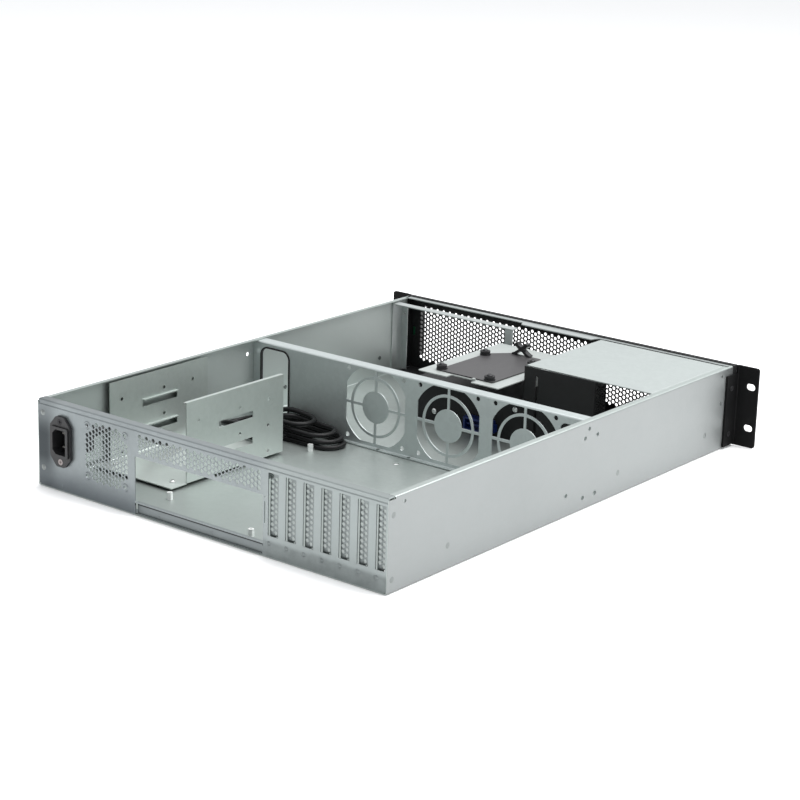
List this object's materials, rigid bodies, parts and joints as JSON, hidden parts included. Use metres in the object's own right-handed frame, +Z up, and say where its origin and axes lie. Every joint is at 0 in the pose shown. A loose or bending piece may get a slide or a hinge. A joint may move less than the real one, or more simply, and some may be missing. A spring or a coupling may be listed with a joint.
{
  "type": "empty rackmount server case",
  "caption": "Open-topped two-unit rackmount server case of folded sheet steel with perforated rear, fan wall, drive bracket, power supply bay, rack ears and internal mains lead.",
  "frame": {"origin": "middle of the overall box on the plane of the underside", "axes": "+X to the right seen from the front, +Y to the rear panel, +Z up"},
  "size_m": [0.4826, 0.5976, 0.087],
  "materials": {
    "galvanised": "satin galvanised sheet",
    "galvanised_panel": "satin galvanised sheet",
    "galvanised_bracket": "satin galvanised sheet",
    "cover_plates": "satin galvanised sheet",
    "black_paint": "fine textured powder coat",
    "pale_bay_plate": "satin",
    "screws": "zinc plated",
    "black_screws": "black passivated",
    "rivets": "plated",
    "blades": "nickel plated",
    "black_plastic": "fine grain",
    "gloss_black": "semi gloss",
    "black_rubber": "matt",
    "lead_sheath": "semi gloss",
    "insulator": "satin",
    "blue_plastic": "semi gloss",
    "board_green": "semi gloss",
    "clear_lens": "diffusing"
  },
  "bodies": {
    "case": {"base_tray": "galvanised", "rear_panel": "galvanised_panel", "slot_ledge": "galvanised", "slot_screws": "screws", "inlet_body": "black_plastic", "inlet_blades": "blades", "inlet_screws": "screws", "inlet_boot": "black_rubber", "fan_wall": "galvanised", "pass_through_trim": "black_rubber", "drive_bracket": "galvanised_bracket", "bracket_screws": "screws", "board_standoffs": "screws", "front_panel": "black_paint", "front_foot": "black_paint", "front_rail": "galvanised_panel", "ear_right": "black_paint", "ear_left": "black_paint", "ear_screws": "black_screws", "bay_cover": "pale_bay_plate", "bay_back": "black_paint", "drive_cage": "black_paint", "cage_back": "black_paint", "cage_screws": "screws", "data_connector": "blue_plastic", "drive_tray": "galvanised_bracket", "drive_plate": "insulator", "tray_grommets": "black_rubber", "tray_screws": "black_screws", "wire_saddle": "gloss_black", "bay_rail": "galvanised_panel", "control_pod": "black_plastic", "control_board": "board_green", "switch_bodies": "black_plastic", "status_lenses": "clear_lens", "usb_sockets": "screws", "rivets": "rivets", "lead_cable": "lead_sheath", "lead_hank": "lead_sheath", "lead_coupler": "black_rubber", "slot_cover_1": "cover_plates", "slot_cover_2": "cover_plates", "slot_cover_3": "cover_plates", "slot_cover_4": "cover_plates", "slot_cover_5": "cover_plates", "slot_cover_6": "cover_plates", "slot_cover_7": "cover_plates"},
    "power_key": {"power_button": "gloss_black"},
    "reset_key": {"reset_button": "gloss_black"}
  },
  "joints": [
    {"name": "power_press", "type": "slide", "parent": "case", "child": "power_key", "axis": [0, 1, 0], "range_m": [0, 0.001], "stiffness_N_per_m": 400, "springref_m": -0.0008},
    {"name": "reset_press", "type": "slide", "parent": "case", "child": "reset_key", "axis": [0, 1, 0], "range_m": [0, 0.001], "stiffness_N_per_m": 300, "springref_m": -0.0008}
  ]
}
